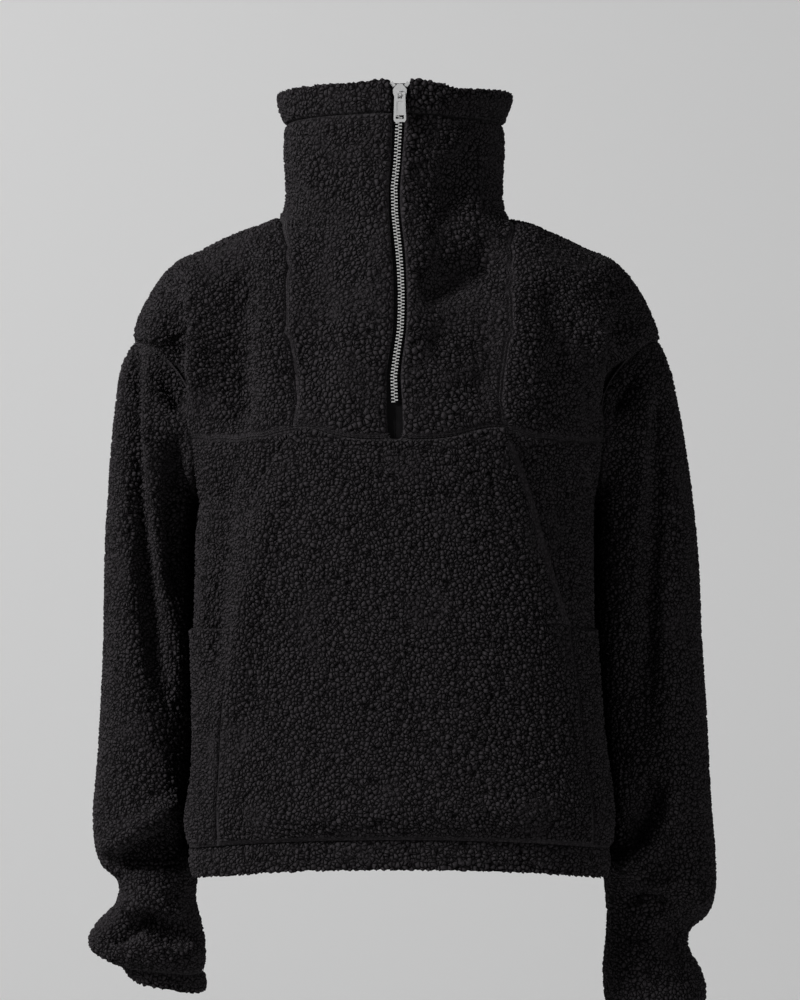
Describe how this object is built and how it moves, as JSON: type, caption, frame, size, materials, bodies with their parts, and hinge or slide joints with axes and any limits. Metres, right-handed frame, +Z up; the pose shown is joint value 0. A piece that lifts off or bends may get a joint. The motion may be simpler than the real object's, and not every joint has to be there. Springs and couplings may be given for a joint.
{
  "type": "sherpa fleece pullover",
  "caption": "Half-zip sherpa fleece pullover with a tall funnel collar, a front pouch pocket and gathered cuffs, hollow and open in its worn shape.",
  "frame": {"origin": "middle of the base of the neck, at the height where the wearer's shoulders carry the garment", "axes": "+Z up towards the collar's edge, -Y out of the front with the zip, +X to the wearer's left"},
  "size_m": [0.534, 0.2767, 0.811],
  "materials": {
    "fleece": "matt curled pile",
    "zip_tape": "woven tape",
    "zip_metal": "polished nickel"
  },
  "bodies": {
    "garment": {"collar_band_right": "fleece", "collar_band_left": "fleece", "collar_band_back": "fleece", "collar_back": "fleece", "front_right": "fleece", "front_left": "fleece", "yoke_right": "fleece", "yoke_left": "fleece", "front_body": "fleece", "pocket_panel": "fleece", "pocket_side_right": "fleece", "pocket_side_left": "fleece", "hem_front": "fleece", "hem_back": "fleece", "back_panel": "fleece", "sleeve_right": "fleece", "sleeve_left": "fleece", "cuff_right": "fleece", "cuff_left": "fleece", "zip_tape_right": "zip_tape", "zip_tape_left": "zip_tape", "zip_chain": "zip_metal", "zip_stop_right": "zip_metal", "zip_stop_left": "zip_metal", "zip_slider": "zip_metal"},
    "zip_pull": {"zip_pull": "zip_metal"}
  },
  "joints": [
    {"name": "pull_hinge", "type": "hinge", "parent": "garment", "child": "zip_pull", "pos_m": [0.0024, -0.1167, 0.0966], "axis": [-1, 0, 0], "range_deg": [0, 170]}
  ]
}
